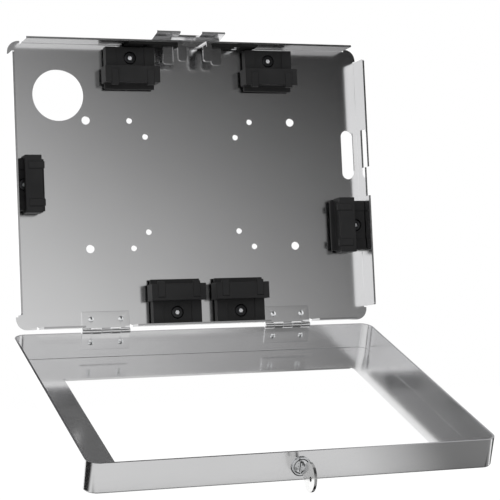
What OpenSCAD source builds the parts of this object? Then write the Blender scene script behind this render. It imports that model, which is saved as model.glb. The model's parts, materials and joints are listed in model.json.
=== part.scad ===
// Tablet security enclosure: a steel back plate with six clamping holders,
// and a hinged window cover that closes over it and locks at the top edge.
// X runs to the right seen from the front, Z runs up, the viewer is at -Y.
// The origin is the centre of the mounting holes on the plate's back face.

/* [Plate] */
// width of the back plate over its flanges
plate_w = 290; // [240:1:340]
// height of the back plate over its flanges
plate_h = 222; // [180:1:280]
// thickness of all the folded sheet
sheet_t = 1.5; // [1:0.1:2]
// depth of the flanges in front of the plate's front face
flange_d = 19; // [16:0.5:26]
// outer radius of the flange folds
bend_r = 1.8; // [1.8:0.1:4]
// radius of the plate's corner ears
ear_r = 9; // [4:0.5:14]
// length of a corner ear along the side and top edges
ear_len = 11; // [8:0.5:20]
// length of a corner ear along the bottom edge
ear_len_bottom = 17; // [10:0.5:25]
// width of the relief cuts beside the folds
relief_w = 1; // [0.8:0.1:2]
// radius of the flanges' front corners
flange_corner_r = 2; // [1:0.5:4]
// diameter of the cable hole
cable_hole_d = 40; // [20:1:60]
// distance of the cable hole's middle from the plate's left edge
cable_hole_in = 38.7; // [30:0.1:50]
// distance of the cable hole's middle from the plate's top edge
cable_hole_down = 41.6; // [30:0.1:60]
// distance of the tall slot's middle from the plate's right edge
side_slot_in = 10.6; // [9:0.1:24]
// height of the tall slot's middle above the centre
side_slot_z = 23.8; // [-60:0.1:60]
// length of the tall slot from end to end
side_slot_len = 40; // [20:1:60]
// width of the tall slot
side_slot_w = 10; // [6:0.5:16]
// hole spacing of the smaller mounting square
vesa_small = 75; // [75:1:75]
// hole spacing of the larger mounting square
vesa_large = 100; // [100:1:100]
// diameter of the mounting holes
vesa_hole_d = 4.5; // [4.2:0.1:5.5]
// spacing of the wall screw holes from left to right
wall_hole_sx = 170; // [150:1:200]
// spacing of the wall screw holes from top to bottom
wall_hole_sz = 100; // [80:1:120]
// diameter of the wall screw holes
wall_hole_d = 6.5; // [4:0.5:8]

/* [Flange openings] */
// lower end of the plug slot in the right flange
flange_slot_z0 = 12; // [0:0.5:20]
// upper end of the plug slot in the right flange
flange_slot_z1 = 43; // [30:0.5:60]
// distance of the plug slot from the plate's front face
flange_slot_in = 8; // [5:0.5:10]
// sheet left in front of the plug slot
flange_slot_lip = 1.8; // [1:0.1:4]
// lower end of the notch in the right flange's front edge
flange_notch_z0 = -11.5; // [-30:0.5:0]
// depth of the notch in the right flange's front edge
flange_notch_d = 5.5; // [2:0.5:9]

/* [Hood] */
// width of the hood over the lock
hood_w = 56.4; // [40:0.1:70]
// height of the hood's underside above the plate's top edge
hood_gap = 4.5; // [4:0.1:7]
// reach of the hood in front of the plate's back face
hood_reach = 14.5; // [10:0.1:18]
// upward slope of the hood in degrees
hood_slope = 11; // [0:1:20]
// width of the notch in the hood's front edge
hood_notch_w = 17.7; // [16:0.1:24]
// depth of the notch in the hood's front edge
hood_notch_d = 7.7; // [5:0.1:10]
// reach of the hood's leg below the plate's top edge, behind the plate
hood_leg = 19; // [18:1:28]
// distance of the hood's rivets from the middle
hood_rivet_x = 22; // [15:0.5:24]
// distance of the lower hood rivets below the plate's top edge
hood_rivet_low = 14; // [12:0.5:15]
// distance of the upper hood rivets below the plate's top edge
hood_rivet_high = 6; // [5:0.5:8]

/* [Cover] */
// angle at which the cover stands open, in degrees
open_angle = 113.11; // [0:0.01:113.11]
// how far the cover's side walls stand outside the plate's edges
cover_side = 2.5; // [2:0.1:5]
// how far the cover's top wall stands above the plate's top edge
cover_over = 2.7; // [2.4:0.1:4]
// how far the cover's hinge wall stands below the plate's bottom edge
cover_under = 4.4; // [4:0.1:6]
// outer depth of the cover in front of the plate's back face
cover_front = 25.1; // [23:0.1:30]
// distance of the cover's rim in front of the plate's back face
cover_rim = 3.6; // [3:0.1:5]
// outer corner radius of the cover
cover_r = 9; // [4:0.5:14]
// width of the window in the cover
window_w = 233.2; // [180:0.1:250]
// height of the window in the cover
window_h = 145.4; // [100:0.1:170]
// diameter of the round relief dots in the window's corners
window_dot_d = 2.4; // [1:0.1:4]

/* [Hinges] */
// distance of the hinge axis in front of the plate's back face
axis_y = 2; // [2:0.1:3]
// distance of the hinge axis below the plate's bottom edge
hinge_drop = 2.4; // [2.4:0.1:3]
// distance of each hinge's middle from the centre
hinge_x = 75; // [50:0.5:110]
// length of each hinge
hinge_len = 38; // [25:1:60]
// outer diameter of the hinge knuckles
knuckle_d = 4; // [3.6:0.1:4]
// diameter of the hinge pins
hinge_pin_d = 2.2; // [1.6:0.1:2.4]
// distance from the hinge axis to a leaf's far edge
leaf_reach = 15; // [12:0.5:20]
// thickness of the hinge leaves
leaf_t = 1; // [0.8:0.1:1.2]
// distance of each rivet from its hinge's middle
hinge_rivet_x = 11.9; // [8:0.1:14]
// distance of the rivets from the hinge axis
hinge_rivet_in = 9; // [7:0.1:11]
// head diameter of the hinge rivets
rivet_head_d = 4.4; // [4:0.1:6]
// shank diameter of the hinge rivets
rivet_d = 2.8; // [2:0.1:3.2]
// height of the hinge rivet heads
rivet_head_h = 0.5; // [0.3:0.1:1.2]

/* [Lock] */
// distance of the lock's axis behind the cover's front face
lock_in = 10.7; // [10.2:0.1:12]
// diameter of the lock's face
lock_face_d = 14; // [13.5:0.1:17]
// height of the lock's face above the cover
lock_face_h = 1.5; // [1:0.1:2]
// diameter of the lock's threaded body
lock_body_d = 12; // [11:0.1:12]
// length of the lock's body below the cover's top wall
lock_body_len = 9; // [8:0.1:14]
// size across the flats of the lock's nut
lock_nut_af = 14; // [13:0.5:14]
// height of the lock's nut
lock_nut_h = 3; // [2:0.1:3.2]
// diameter of the turning plug
plug_d = 10; // [8:0.1:10]
// width of the keyway
keyway_w = 2.6; // [2.4:0.1:3]
// length of the keyway across the plug
keyway_len = 7.4; // [7.2:0.1:8]
// width of the cam
cam_w = 10; // [6:0.1:10]
// thickness of the cam
cam_t = 2; // [1.5:0.1:2.5]
// distance from the plug's axis to the cam's tip
cam_reach = 8.3; // [7.5:0.1:8.3]
// thickness of the key's blade and bow
key_t = 2; // [1.6:0.1:2]
// width of the key's blade
key_blade_w = 6.8; // [5:0.1:6.8]
// width of the key's bow
key_bow_w = 20; // [16:0.5:24]
// length of the key's bow
key_bow_len = 19; // [16:0.5:24]
// free length of the key between the lock and the bow
key_neck = 6.3; // [5:0.1:12]
// depth of the key inside the lock
key_in = 8; // [6:0.5:8.5]
// diameter of the hole in the key's bow
key_hole_d = 3.4; // [3:0.1:6]
// distance of that hole's middle from the bow's far end
key_hole_in = 6.6; // [4:0.1:9]
// diameter of the four small holes across the key's neck
key_dot_d = 0.8; // [0.6:0.1:1.2]
// spacing of the four small holes
key_dot_step = 1.9; // [1.4:0.1:1.9]
// distance of the small holes from the lock's face
key_dot_out = 2.8; // [0.8:0.1:3]

/* [Strike] */
// width of the strike's pad under the flange
strike_w = 88; // [70:1:100]
// thickness of the strike's pad
strike_pad_t = 1; // [0.8:0.1:1.2]
// width of the opening between the strike's pads for the lock
strike_gap_w = 20; // [18:0.5:24]
// inner edge of the front tabs, from the centre
hook_in = 6.8; // [6.6:0.1:8]
// outer edge of the front tabs, from the centre
hook_out = 13.9; // [12:0.1:14.5]
// distance of the front tabs' rear faces in front of the lock's axis
hook_ahead = 5.4; // [5.4:0.1:6]
// reach of the front tabs below the plate's top edge
hook_drop = 16.4; // [12:0.1:19]
// inner edge of the rear tabs, from the centre
guide_in = 15.6; // [15.4:0.1:17]
// outer edge of the rear tabs, from the centre
guide_out = 24; // [20:0.1:26]
// reach of the rear tabs below the plate's top edge
guide_drop = 17.7; // [12:0.1:19]
// length of the black buffer strip
buffer_w = 106; // [70:1:120]
// thickness of the black buffer strip under the pad
buffer_t = 0.8; // [0.6:0.1:1.5]

/* [Holders] */
// width of a sliding jaw
jaw_w = 44; // [34:0.5:50]
// length of a jaw from the tablet's edge to its rear edge
jaw_len = 13; // [10:0.5:16]
// thickness of a jaw's side walls around the base
jaw_cheek_t = 1.85; // [1.2:0.05:3]
// thickness of a jaw's front over the base
jaw_roof_t = 5.8; // [4:0.1:7]
// thickness of a jaw's wall at the tablet's edge
jaw_wall = 2; // [1.2:0.1:3]
// height of the ledge under the tablet above the plate
ledge_h = 5.5; // [4.5:0.1:7]
// reach of the ledge under the tablet
ledge_reach = 4; // [2:0.5:8]
// distance of each finger from the jaw's side
finger_side = 4.95; // [2:0.05:8]
// width of a finger
finger_w = 5.5; // [3:0.1:8]
// length of a finger
finger_len = 12.4; // [6:0.1:14]
// reach of a finger over the tablet's edge
finger_reach = 2; // [1:0.1:4]
// thickness of a finger over the tablet's edge
finger_t = 2.6; // [1.5:0.1:4]
// height of a finger's back above the jaw's front face
finger_rise = 0.5; // [0.2:0.1:1.5]
// height of the base's side strips above the plate
base_h = 10; // [9.2:0.1:12]
// depth of the base's middle below its side strips
base_dip = 0.8; // [0.2:0.1:1]
// height of the foot that lifts the base off the plate
foot_h = 2.6; // [2:0.1:3]
// gap between a base's outer end and the flange beside it
base_gap = 0.3; // [0.3:0.1:2]
// gap between a top base's outer end and the top flange, for the strike
top_base_gap = 2.9; // [2.5:0.1:8]
// reach of a top base from the tablet's edge outwards
top_end = 28.6; // [25:0.1:34]
// reach of a bottom base from the tablet's edge outwards
bottom_end = 30.2; // [24:0.1:34]
// reach of the left base from the tablet's edge outwards
left_end = 18.7; // [18:0.1:34]
// reach of the right base from the tablet's edge outwards
right_end = 24.4; // [18:0.1:34]
// distance of a top base's screw from the base's outer end
top_screw_in = 8.6; // [6.2:0.05:11]
// distance of a bottom base's screw from the base's outer end
bottom_screw_in = 8.1; // [6.2:0.05:11]
// distance of the left base's screw from the base's outer end
left_screw_in = 6.35; // [6.2:0.05:8]
// distance of the right base's screw from the base's outer end
right_screw_in = 8.45; // [6.2:0.05:11]
// left top holder's distance from the centre
top_left_x = -50; // [-62:0.5:-46]
// right top holder's distance from the centre
top_right_x = 65; // [50:0.5:90]
// left bottom holder's distance from the centre
bottom_left_x = -19.5; // [-34:0.5:-12]
// right bottom holder's distance from the centre
bottom_right_x = 33; // [25:0.5:36]
// left holder's height from the centre
left_z = -1; // [-30:0.5:30]
// right holder's height from the centre
right_z = -34.7; // [-60:0.1:-25]
// travel of a jaw away from the tablet's space
slide_out = 1.8; // [0:0.1:3]
// diameter of the base screws
screw_d = 4; // [3:0.5:5]
// head diameter of the base screws
screw_head_d = 8.8; // [8:0.1:10]
// head height of the base screws
screw_head_h = 3.9; // [2:0.1:4]
// gap around a base screw's head in its recess
recess_gap = 0.6; // [0.3:0.1:1.5]
// size across the flats of the socket in a base screw
socket_af = 3; // [2:0.5:4]
// depth of the socket in a base screw
socket_depth = 2.2; // [1:0.1:3]
// size across the flats of the nuts behind the plate
nut_af = 7; // [7:0.5:10]
// thickness of the nuts behind the plate
nut_t = 2.4; // [2:0.1:4]

/* [Fits] */
// gap between pieces that are fastened face to face
seat_gap = 0.05; // [0.02:0.01:0.1]
// gap around a hinge pin and around the turning plug, on the radius
run_gap = 0.04; // [0.02:0.01:0.08]
// gap around a screw or rivet in its hole, on the radius
shank_gap = 0.1; // [0.05:0.05:0.3]
// gap between pieces that pass each other
free_gap = 0.4; // [0.3:0.05:0.6]

/* [Hidden] */
$fn = 48;
edge_x = plate_w / 2;
edge_z = plate_h / 2;
cable_hole_x = edge_x - cable_hole_in;
cable_hole_z = edge_z - cable_hole_down;
side_slot_x = edge_x - side_slot_in;
hood_z = edge_z + hood_gap;
hood_foot = edge_z - hood_leg;
cover_w = plate_w + 2 * cover_side;
cover_top = edge_z + cover_over;
cover_foot = edge_z + cover_under;
axis_z = edge_z + hinge_drop;
lock_y = cover_front - lock_in;
bend_inner = max(0.1, bend_r - sheet_t);
hook_z = edge_z - hook_drop;
guide_z = edge_z - guide_drop;
front_y = -sheet_t;
flange_y = -(sheet_t + flange_d);
flange_x0 = strike_gap_w / 2;
relief_in = 0.2;
hinge_half = hinge_len / 2;
hinge_relief = 1.5;
wall_in_x = cover_w / 2 - sheet_t;
hinge_wall_z = -(cover_foot - sheet_t);
top_wall_z = cover_top - sheet_t;
sheet_in_y = -(cover_front - sheet_t);
knuckle_n = 5;
knuckle_len = (hinge_len - (knuckle_n - 1) * free_gap) / knuckle_n;
body_low = top_wall_z - lock_body_len + sheet_t;
plug_top = cover_top + lock_face_h - 0.3;
plug_low = body_low - free_gap;
spigot_d = 6;
cam_top = plug_low - seat_gap;
cam_low = cam_top - cam_t;
cam_screw_d = 3;
cam_head_d = 7;
cam_head_h = 1.6;
pad_top = edge_z - sheet_t - seat_gap;
pad_low = pad_top - strike_pad_t;
pad_back = -(sheet_t + 2);
pad_front = -17;
hook_y1 = -(lock_y + hook_ahead);
hook_y0 = hook_y1 - sheet_t;
guide_y1 = -12.9;
guide_y0 = guide_y1 - sheet_t;
strike_rivet_x = 38;
strike_rivet_y = [-7, -13.5];
strike_rivet_d = 3;
strike_rivet_head = 5;
buffer_low = pad_low - seat_gap - buffer_t;
hood_y = sheet_t + seat_gap;
hood_rivet_z = [edge_z - hood_rivet_low, edge_z - hood_rivet_high];
hood_rivet_d = 3;
screw_hole_d = screw_d + 2 * shank_gap;
slot_w = screw_d + 1.4;
recess_d = screw_head_d + 2 * recess_gap;
// inside of a holder: start of the base, tongue that the screw clamps
base_start = jaw_wall + free_gap + slide_out + 0.2;
base_w = jaw_w - 2 * (jaw_cheek_t + free_gap);
base_end_wall = 1.6;
base_floor = 0.6;
channel_gap = 0.3;
foot_w = base_w - 8;
tongue_w = base_w / 2;
tongue_z0 = foot_h + base_floor + channel_gap;
tongue_z1 = tongue_z0 + 1.4;
jaw_lift = foot_h + free_gap;
jaw_h = base_h + free_gap + jaw_roof_t;
finger_x = jaw_w / 2 - finger_side - finger_w / 2;
strip_in = finger_x - finger_w / 2;
// screws, measured outwards from the tablet's edge
top_screw = top_end - top_screw_in;
bottom_screw = bottom_end - bottom_screw_in;
left_screw = left_end - left_screw_in;
right_screw = right_end - right_screw_in;
// sides of the tablet's space
bay_top = edge_z - sheet_t - top_base_gap - top_end;
bay_bottom = edge_z - sheet_t - base_gap - bottom_end;
bay_left = edge_x - sheet_t - base_gap - left_end;
bay_right = edge_x - sheet_t - base_gap - right_end;

// box between two corners given as x, y and z ranges
module block(x0, x1, y0, y1, z0, z1) {
  translate([x0, y0, z0])
  cube([x1 - x0, y1 - y0, z1 - z0]);
}

// round rod along Y between two depths
module rod_y(x, z, y0, y1, d) {
  translate([x, y1, z])
  rotate([90, 0, 0])
  cylinder(h = y1 - y0, d = d);
}

// round rod along Z between two heights
module rod_z(x, y, z0, z1, d) {
  translate([x, y, z0])
  cylinder(h = z1 - z0, d = d);
}

// round rod along X between two ends
module rod_x(x0, x1, y, z, d) {
  translate([x0, y, z])
  rotate([0, 90, 0])
  cylinder(h = x1 - x0, d = d);
}

// flat outline drawn in X and Z, made solid from y1 forwards to y0
module plate_of(y0, y1) {
  translate([0, y1, 0])
  rotate([90, 0, 0])
  linear_extrude(y1 - y0)
  children();
}

// rectangle with round corners between two corners
module round_rect(x0, x1, z0, z1, r) {
  translate([(x0 + x1) / 2, (z0 + z1) / 2])
  union() {
    square([x1 - x0 - 2 * r, z1 - z0], center = true);
    square([x1 - x0, z1 - z0 - 2 * r], center = true);
    for (sx = [-1, 1])
      for (sz = [-1, 1])
        translate([sx * ((x1 - x0) / 2 - r), sz * ((z1 - z0) / 2 - r)])
        circle(r = r);
  }
}

// slot with round ends, standing upright around its middle
module upright_slot(len, w) {
  square([w, len - w], center = true);
  for (s = [-1, 1])
    translate([0, s * (len - w) / 2])
    circle(d = w);
}

// turns the closed cover's pieces to the pose in which it stands open
module opened() {
  translate([0, -axis_y, -axis_z])
  rotate([open_angle, 0, 0])
  translate([0, axis_y, axis_z])
  children();
}

// section of a folded flange: x is outward from the fold, y is forward from the back
module flange_section() {
  translate([-sheet_t, bend_r])
  square([sheet_t, flange_d + sheet_t - bend_r]);
  translate([-bend_r - 1, 0])
  square([1, sheet_t]);
  translate([-bend_r, bend_r])
  difference() {
    intersection() {
      circle(r = bend_r);
      translate([0, -bend_r])
      square(bend_r);
    }
    circle(r = bend_inner);
  }
}

// flange on the right edge between two heights
module side_flange(z0, z1) {
  translate([edge_x, 0, z1])
  rotate([180, 0, 0])
  linear_extrude(z1 - z0)
  flange_section();
}

// flange on the top edge between two places from left to right
module top_flange(x0, x1) {
  translate([x0, 0, edge_z])
  rotate([0, -90, 0])
  rotate([180, 0, 0])
  linear_extrude(x1 - x0)
  flange_section();
}

// relief cut beside a fold on the right edge, from height z upwards
module side_relief(z) {
  translate([edge_x - bend_r - relief_in, z])
  square([bend_r + 1, relief_w]);
}

// relief cut beside a fold on the top edge, from place x to the right
module top_relief(x, w) {
  translate([x, edge_z - bend_r - relief_in])
  square([w, bend_r + 1]);
}

// outline of the flat part of the plate with its corner ears
module plate_outline() {
  difference() {
    round_rect(-edge_x, edge_x, -edge_z, edge_z, ear_r);
    for (s = [0, 1])
      mirror([s, 0]) {
        translate([edge_x - bend_r, -edge_z + ear_len - relief_w])
        square([bend_r + 1, plate_h - 2 * (ear_len - relief_w)]);
        side_relief(edge_z - ear_len);
        side_relief(-edge_z + ear_len - relief_w);
        translate([-1, edge_z - bend_r])
        square([edge_x - ear_len + relief_w + 1, bend_r + 1]);
        top_relief(edge_x - ear_len, relief_w);
        mirror([0, 1]) {
          translate([-1, edge_z - bend_r])
          square([hinge_x - hinge_half + 1, bend_r + 1]);
          translate([hinge_x + hinge_half, edge_z - bend_r])
          square([edge_x - ear_len_bottom + relief_w - hinge_x - hinge_half, bend_r + 1]);
          top_relief(hinge_x - hinge_half - hinge_relief, hinge_relief);
          top_relief(hinge_x + hinge_half, hinge_relief);
          top_relief(edge_x - ear_len_bottom, relief_w);
        }
      }
    translate([-cable_hole_x, cable_hole_z])
    circle(d = cable_hole_d);
    translate([side_slot_x, side_slot_z])
    upright_slot(side_slot_len, side_slot_w);
    for (sx = [-1, 1])
      for (sz = [-1, 1]) {
        for (v = [vesa_small, vesa_large])
          translate([sx * v / 2, sz * v / 2])
          circle(d = vesa_hole_d);
        translate([sx * wall_hole_sx / 2, sz * wall_hole_sz / 2])
        circle(d = wall_hole_d);
        translate([sx * hinge_x, 0])
        for (r = [-1, 1])
          translate([r * hinge_rivet_x, -axis_z + hinge_rivet_in])
          circle(d = rivet_d + 2 * shank_gap);
      }
    base_screw_outlines();
    for (x = [-1, 1])
      for (z = hood_rivet_z)
        translate([x * hood_rivet_x, z])
        circle(d = hood_rivet_d + 2 * shank_gap);
  }
}

// holes in the plate for the base screws
module base_screw_outlines() {
  for (x = [top_left_x, top_right_x])
    translate([x, bay_top + top_screw])
    circle(d = screw_hole_d);
  for (x = [bottom_left_x, bottom_right_x])
    translate([x, -bay_bottom - bottom_screw])
    circle(d = screw_hole_d);
  translate([-bay_left - left_screw, left_z])
  circle(d = screw_hole_d);
  translate([bay_right + right_screw, right_z])
  circle(d = screw_hole_d);
}

// what rounds off one front corner of a side flange, at its upper or lower end
module flange_corner(z, up) {
  translate([edge_x - sheet_t - 1, flange_y, z])
  mirror([0, 0, up])
  difference() {
    translate([0, -1, -1])
    cube([sheet_t + 2, flange_corner_r + 1, flange_corner_r + 1]);
    translate([-1, flange_corner_r, flange_corner_r])
    rotate([0, 90, 0])
    cylinder(h = sheet_t + 4, r = flange_corner_r);
  }
}

// sheet riveted behind the plate, which bends forward over the closed cover's top wall
module lock_hood() {
  color([0.75, 0.76, 0.77])
  difference() {
    translate([-hood_w / 2, 0, 0])
    rotate([90, 0, 90])
    linear_extrude(hood_w)
    translate([hood_y, 0])
    union() {
      translate([-sheet_t, hood_foot])
      square([sheet_t, hood_z + sheet_t - bend_r - hood_foot]);
      translate([-bend_r, hood_z + sheet_t - bend_r])
      difference() {
        intersection() {
          circle(r = bend_r);
          square(bend_r);
        }
        circle(r = bend_inner);
      }
      translate([-bend_r, hood_z])
      rotate(180 - hood_slope)
      translate([-0.4, -sheet_t])
      square([(hood_reach + hood_y - bend_r) / cos(hood_slope) + 0.4, sheet_t]);
    }
    block(-hood_notch_w / 2, hood_notch_w / 2, -hood_reach - 2, -hood_reach + hood_notch_d,
      hood_z - 1, hood_z + hood_reach);
    for (x = [-1, 1])
      for (z = hood_rivet_z)
        rod_y(x * hood_rivet_x, z, -1, hood_y + 1, hood_rivet_d + 2 * shank_gap);
  }
}

// rivets flush with the plate's front face and with low heads behind the hood's leg
module hood_rivets() {
  color([0.85, 0.86, 0.87])
  for (x = [-1, 1])
    for (z = hood_rivet_z)
      translate([x * hood_rivet_x, front_y, z])
      rotate([-90, 0, 0])
      rivet(2 * sheet_t + 2 * seat_gap, hood_rivet_d, rivet_head_d, rivet_head_h);
}

module back_plate() {
  color([0.75, 0.76, 0.77])
  difference() {
    union() {
      plate_of(-sheet_t, 0)
      plate_outline();
      for (s = [0, 1])
        mirror([s, 0, 0]) {
          side_flange(-edge_z + ear_len, edge_z - ear_len);
          top_flange(flange_x0, edge_x - ear_len);
          mirror([0, 0, 1]) {
            top_flange(-0.1, hinge_x - hinge_half - hinge_relief);
            top_flange(hinge_x + hinge_half + hinge_relief, edge_x - ear_len_bottom);
          }
        }
    }
    for (s = [0, 1])
      mirror([s, 0, 0]) {
        flange_corner(-edge_z + ear_len, 0);
        flange_corner(edge_z - ear_len, 1);
      }
    block(edge_x - 4, edge_x + 1, flange_y + flange_slot_lip, front_y - flange_slot_in,
      flange_slot_z0, flange_slot_z1);
    block(edge_x - 4, edge_x + 1, flange_y - 1, flange_y + flange_notch_d,
      flange_notch_z0, flange_slot_z0);
    for (s = [-1, 1])
      for (y = strike_rivet_y)
        rod_z(s * strike_rivet_x, y, edge_z - 3, edge_z + 1, strike_rivet_d + 2 * shank_gap);
  }
}

module cover_frame() {
  color([0.78, 0.79, 0.8])
  opened()
  difference() {
    plate_of(-cover_front, -cover_rim)
    round_rect(-cover_w / 2, cover_w / 2, -cover_foot, cover_top, cover_r);
    plate_of(sheet_in_y, 0)
    round_rect(-wall_in_x, wall_in_x, hinge_wall_z, top_wall_z, cover_r - sheet_t);
    plate_of(-cover_front - 1, 0)
    union() {
      square([window_w, window_h], center = true);
      for (sx = [-1, 1])
        for (sz = [-1, 1])
          translate([sx * window_w / 2, sz * window_h / 2])
          circle(d = window_dot_d);
    }
    for (s = [-1, 1]) {
      block(s * hinge_x - hinge_half - free_gap, s * hinge_x + hinge_half + free_gap,
        -(axis_y + knuckle_d / 2 + free_gap), 0, -cover_foot - 1, hinge_wall_z + 1);
      for (r = [-1, 1])
        rod_z(s * hinge_x + r * hinge_rivet_x, -(axis_y + hinge_rivet_in),
          -cover_foot - 1, hinge_wall_z + 1, rivet_d + 2 * shank_gap);
    }
    rod_z(0, -lock_y, top_wall_z - 1, cover_top + 1, lock_body_d + 2 * shank_gap);
  }
}

// start of one knuckle, counted from the hinge's left end
function knuckle_x(i) = -hinge_half + i * (knuckle_len + free_gap);

// knuckles of one leaf around the pin
module knuckles(x, list) {
  for (i = list)
    rod_x(x + knuckle_x(i), x + knuckle_x(i) + knuckle_len, -axis_y, -axis_z, knuckle_d);
}

module hinge_bore(x) {
  rod_x(x - hinge_half - 1, x + hinge_half + 1, -axis_y, -axis_z, hinge_pin_d + 2 * run_gap);
}

// leaf on the plate's front face with three knuckles
module plate_leaf(x) {
  color([0.8, 0.81, 0.82])
  difference() {
    union() {
      block(x - hinge_half, x + hinge_half, front_y - seat_gap - leaf_t, front_y - seat_gap,
        -axis_z, -axis_z + leaf_reach);
      knuckles(x, [0, 2, 4]);
    }
    hinge_bore(x);
    for (i = [1, 3])
      block(x + knuckle_x(i) - free_gap, x + knuckle_x(i) + knuckle_len + free_gap,
        -axis_y - knuckle_d, 1, -axis_z - knuckle_d, -axis_z + knuckle_d / 2 + free_gap);
    for (r = [-1, 1])
      rod_y(x + r * hinge_rivet_x, -axis_z + hinge_rivet_in, front_y - 3, front_y + 1,
        rivet_d + 2 * shank_gap);
  }
}

// leaf on the inner face of the cover's hinge wall with two knuckles
module cover_leaf(x) {
  color([0.8, 0.81, 0.82])
  opened()
  difference() {
    union() {
      block(x - hinge_half, x + hinge_half, -axis_y - leaf_reach, -axis_y,
        hinge_wall_z + seat_gap, hinge_wall_z + seat_gap + leaf_t);
      knuckles(x, [1, 3]);
    }
    hinge_bore(x);
    for (i = [0, 2, 4])
      block(x + knuckle_x(i) - free_gap, x + knuckle_x(i) + knuckle_len + free_gap,
        -axis_y - knuckle_d / 2 - free_gap, 1, -axis_z - knuckle_d, -axis_z + knuckle_d);
    for (r = [-1, 1])
      rod_z(x + r * hinge_rivet_x, -(axis_y + hinge_rivet_in), hinge_wall_z - 1,
        hinge_wall_z + 3, rivet_d + 2 * shank_gap);
  }
}

module left_hinge_plate_leaf() {
  plate_leaf(-hinge_x);
}

module right_hinge_plate_leaf() {
  plate_leaf(hinge_x);
}

module left_hinge_cover_leaf() {
  cover_leaf(-hinge_x);
}

module right_hinge_cover_leaf() {
  cover_leaf(hinge_x);
}

// pin through all five knuckles
module hinge_pin(x) {
  color([0.72, 0.73, 0.74])
  rod_x(x - hinge_half, x + hinge_half, -axis_y, -axis_z, hinge_pin_d);
}

module left_hinge_pin() {
  hinge_pin(-hinge_x);
}

module right_hinge_pin() {
  hinge_pin(hinge_x);
}

// round rivet from its shank's foot upwards: shank length, then a domed head
module rivet(len, d, head_d, head_h) {
  rotate_extrude()
  union() {
    square([d / 2, len + 0.1]);
    translate([0, len])
    difference() {
      intersection() {
        translate([0, head_h - head_d * head_d / 4 / head_h / 2 - head_h / 2])
        circle(r = head_d * head_d / 8 / head_h + head_h / 2, $fn = 96);
        square([head_d / 2, head_h]);
      }
      translate([0, -head_h])
      square([head_d, head_h]);
    }
  }
}

module plate_rivets() {
  color([0.85, 0.86, 0.87])
  for (s = [-1, 1])
    for (r = [-1, 1])
      translate([s * hinge_x + r * hinge_rivet_x, 0, -axis_z + hinge_rivet_in])
      rotate([90, 0, 0])
      rivet(sheet_t + leaf_t + 2 * seat_gap, rivet_d, rivet_head_d, rivet_head_h);
}

module cover_rivets() {
  color([0.85, 0.86, 0.87])
  opened()
  for (s = [-1, 1])
    for (r = [-1, 1])
      translate([s * hinge_x + r * hinge_rivet_x, -(axis_y + hinge_rivet_in), -cover_foot])
      rivet(sheet_t + leaf_t + 2 * seat_gap, rivet_d, rivet_head_d, rivet_head_h);
}

// one hanging tab with round lower corners
module tab(x0, x1, y0, y1, z0, z1, r) {
  plate_of(y0, y1)
  intersection() {
    round_rect(x0, x1, z0, z1 + 2 * r, r);
    translate([x0, z0])
    square([x1 - x0, z1 - z0]);
  }
}

module lock_strike() {
  color([0.82, 0.83, 0.84])
  for (s = [0, 1])
    mirror([s, 0, 0])
    difference() {
      union() {
        block(strike_gap_w / 2, strike_w / 2, pad_front, pad_back, pad_low, pad_top);
        block(strike_gap_w / 2, hook_out, hook_y0, pad_front + 1, pad_low, pad_top);
        block(strike_gap_w / 2, hook_out, hook_y0, hook_y1, hook_z + 10, pad_top);
        tab(hook_in, hook_out, hook_y0, hook_y1, hook_z, pad_low - 2, 2);
        tab(guide_in, guide_out, guide_y0, guide_y1, guide_z, pad_low + 0.5, 2);
      }
      for (y = strike_rivet_y)
        rod_z(strike_rivet_x, y, pad_low - 1, pad_top + 1, strike_rivet_d + 2 * shank_gap);
    }
  color([0.82, 0.83, 0.84])
  block(-strike_gap_w / 2 - 1, strike_gap_w / 2 + 1, pad_back - 1.5, pad_back, pad_low, pad_top);
}

// flush rivets that hold the strike under the flange
module strike_rivets() {
  color([0.85, 0.86, 0.87])
  for (s = [-1, 1])
    for (y = strike_rivet_y) {
      rod_z(s * strike_rivet_x, y, pad_low - seat_gap - 0.1, edge_z, strike_rivet_d);
      rod_z(s * strike_rivet_x, y, buffer_low + 0.1, pad_low - seat_gap, strike_rivet_head);
    }
}

module buffer_strip() {
  color([0.06, 0.06, 0.06])
  for (s = [0, 1])
    mirror([s, 0, 0])
    difference() {
      union() {
        block(strike_gap_w / 2, buffer_w / 2, flange_y + 0.6, pad_back, buffer_low,
          pad_low - seat_gap);
        block(hook_out + free_gap, buffer_w / 2, flange_y + 0.6, pad_front - seat_gap,
          pad_low - seat_gap - 0.1, pad_top);
        block(strike_w / 2 + seat_gap, buffer_w / 2, flange_y + 0.6, pad_back,
          pad_low - seat_gap - 0.1, pad_top);
      }
      block(0, hook_out + free_gap, flange_y - 1, hook_y1 + free_gap, buffer_low - 1,
        pad_top + 1);
      block(guide_in - free_gap, guide_out + free_gap, guide_y0 - free_gap,
        guide_y1 + free_gap, buffer_low - 1, pad_top + 1);
      for (y = strike_rivet_y)
        rod_z(strike_rivet_x, y, buffer_low - 1, pad_top, strike_rivet_head + 0.4);
    }
}

module lock_body() {
  color([0.88, 0.89, 0.9])
  opened()
  difference() {
    union() {
      rod_z(0, -lock_y, cover_top + seat_gap, cover_top + lock_face_h, lock_face_d);
      rod_z(0, -lock_y, body_low, cover_top + 0.5, lock_body_d);
    }
    rod_z(0, -lock_y, body_low - 1, cover_top + lock_face_h + 1, plug_d + 2 * run_gap);
  }
}

module lock_nut() {
  color([0.85, 0.86, 0.87])
  opened()
  translate([0, -lock_y, top_wall_z - seat_gap - lock_nut_h])
  difference() {
    cylinder(h = lock_nut_h, d = lock_nut_af / cos(30), $fn = 6);
    translate([0, 0, -1])
    cylinder(h = lock_nut_h + 2, d = lock_body_d + 2 * run_gap);
  }
}

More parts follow.
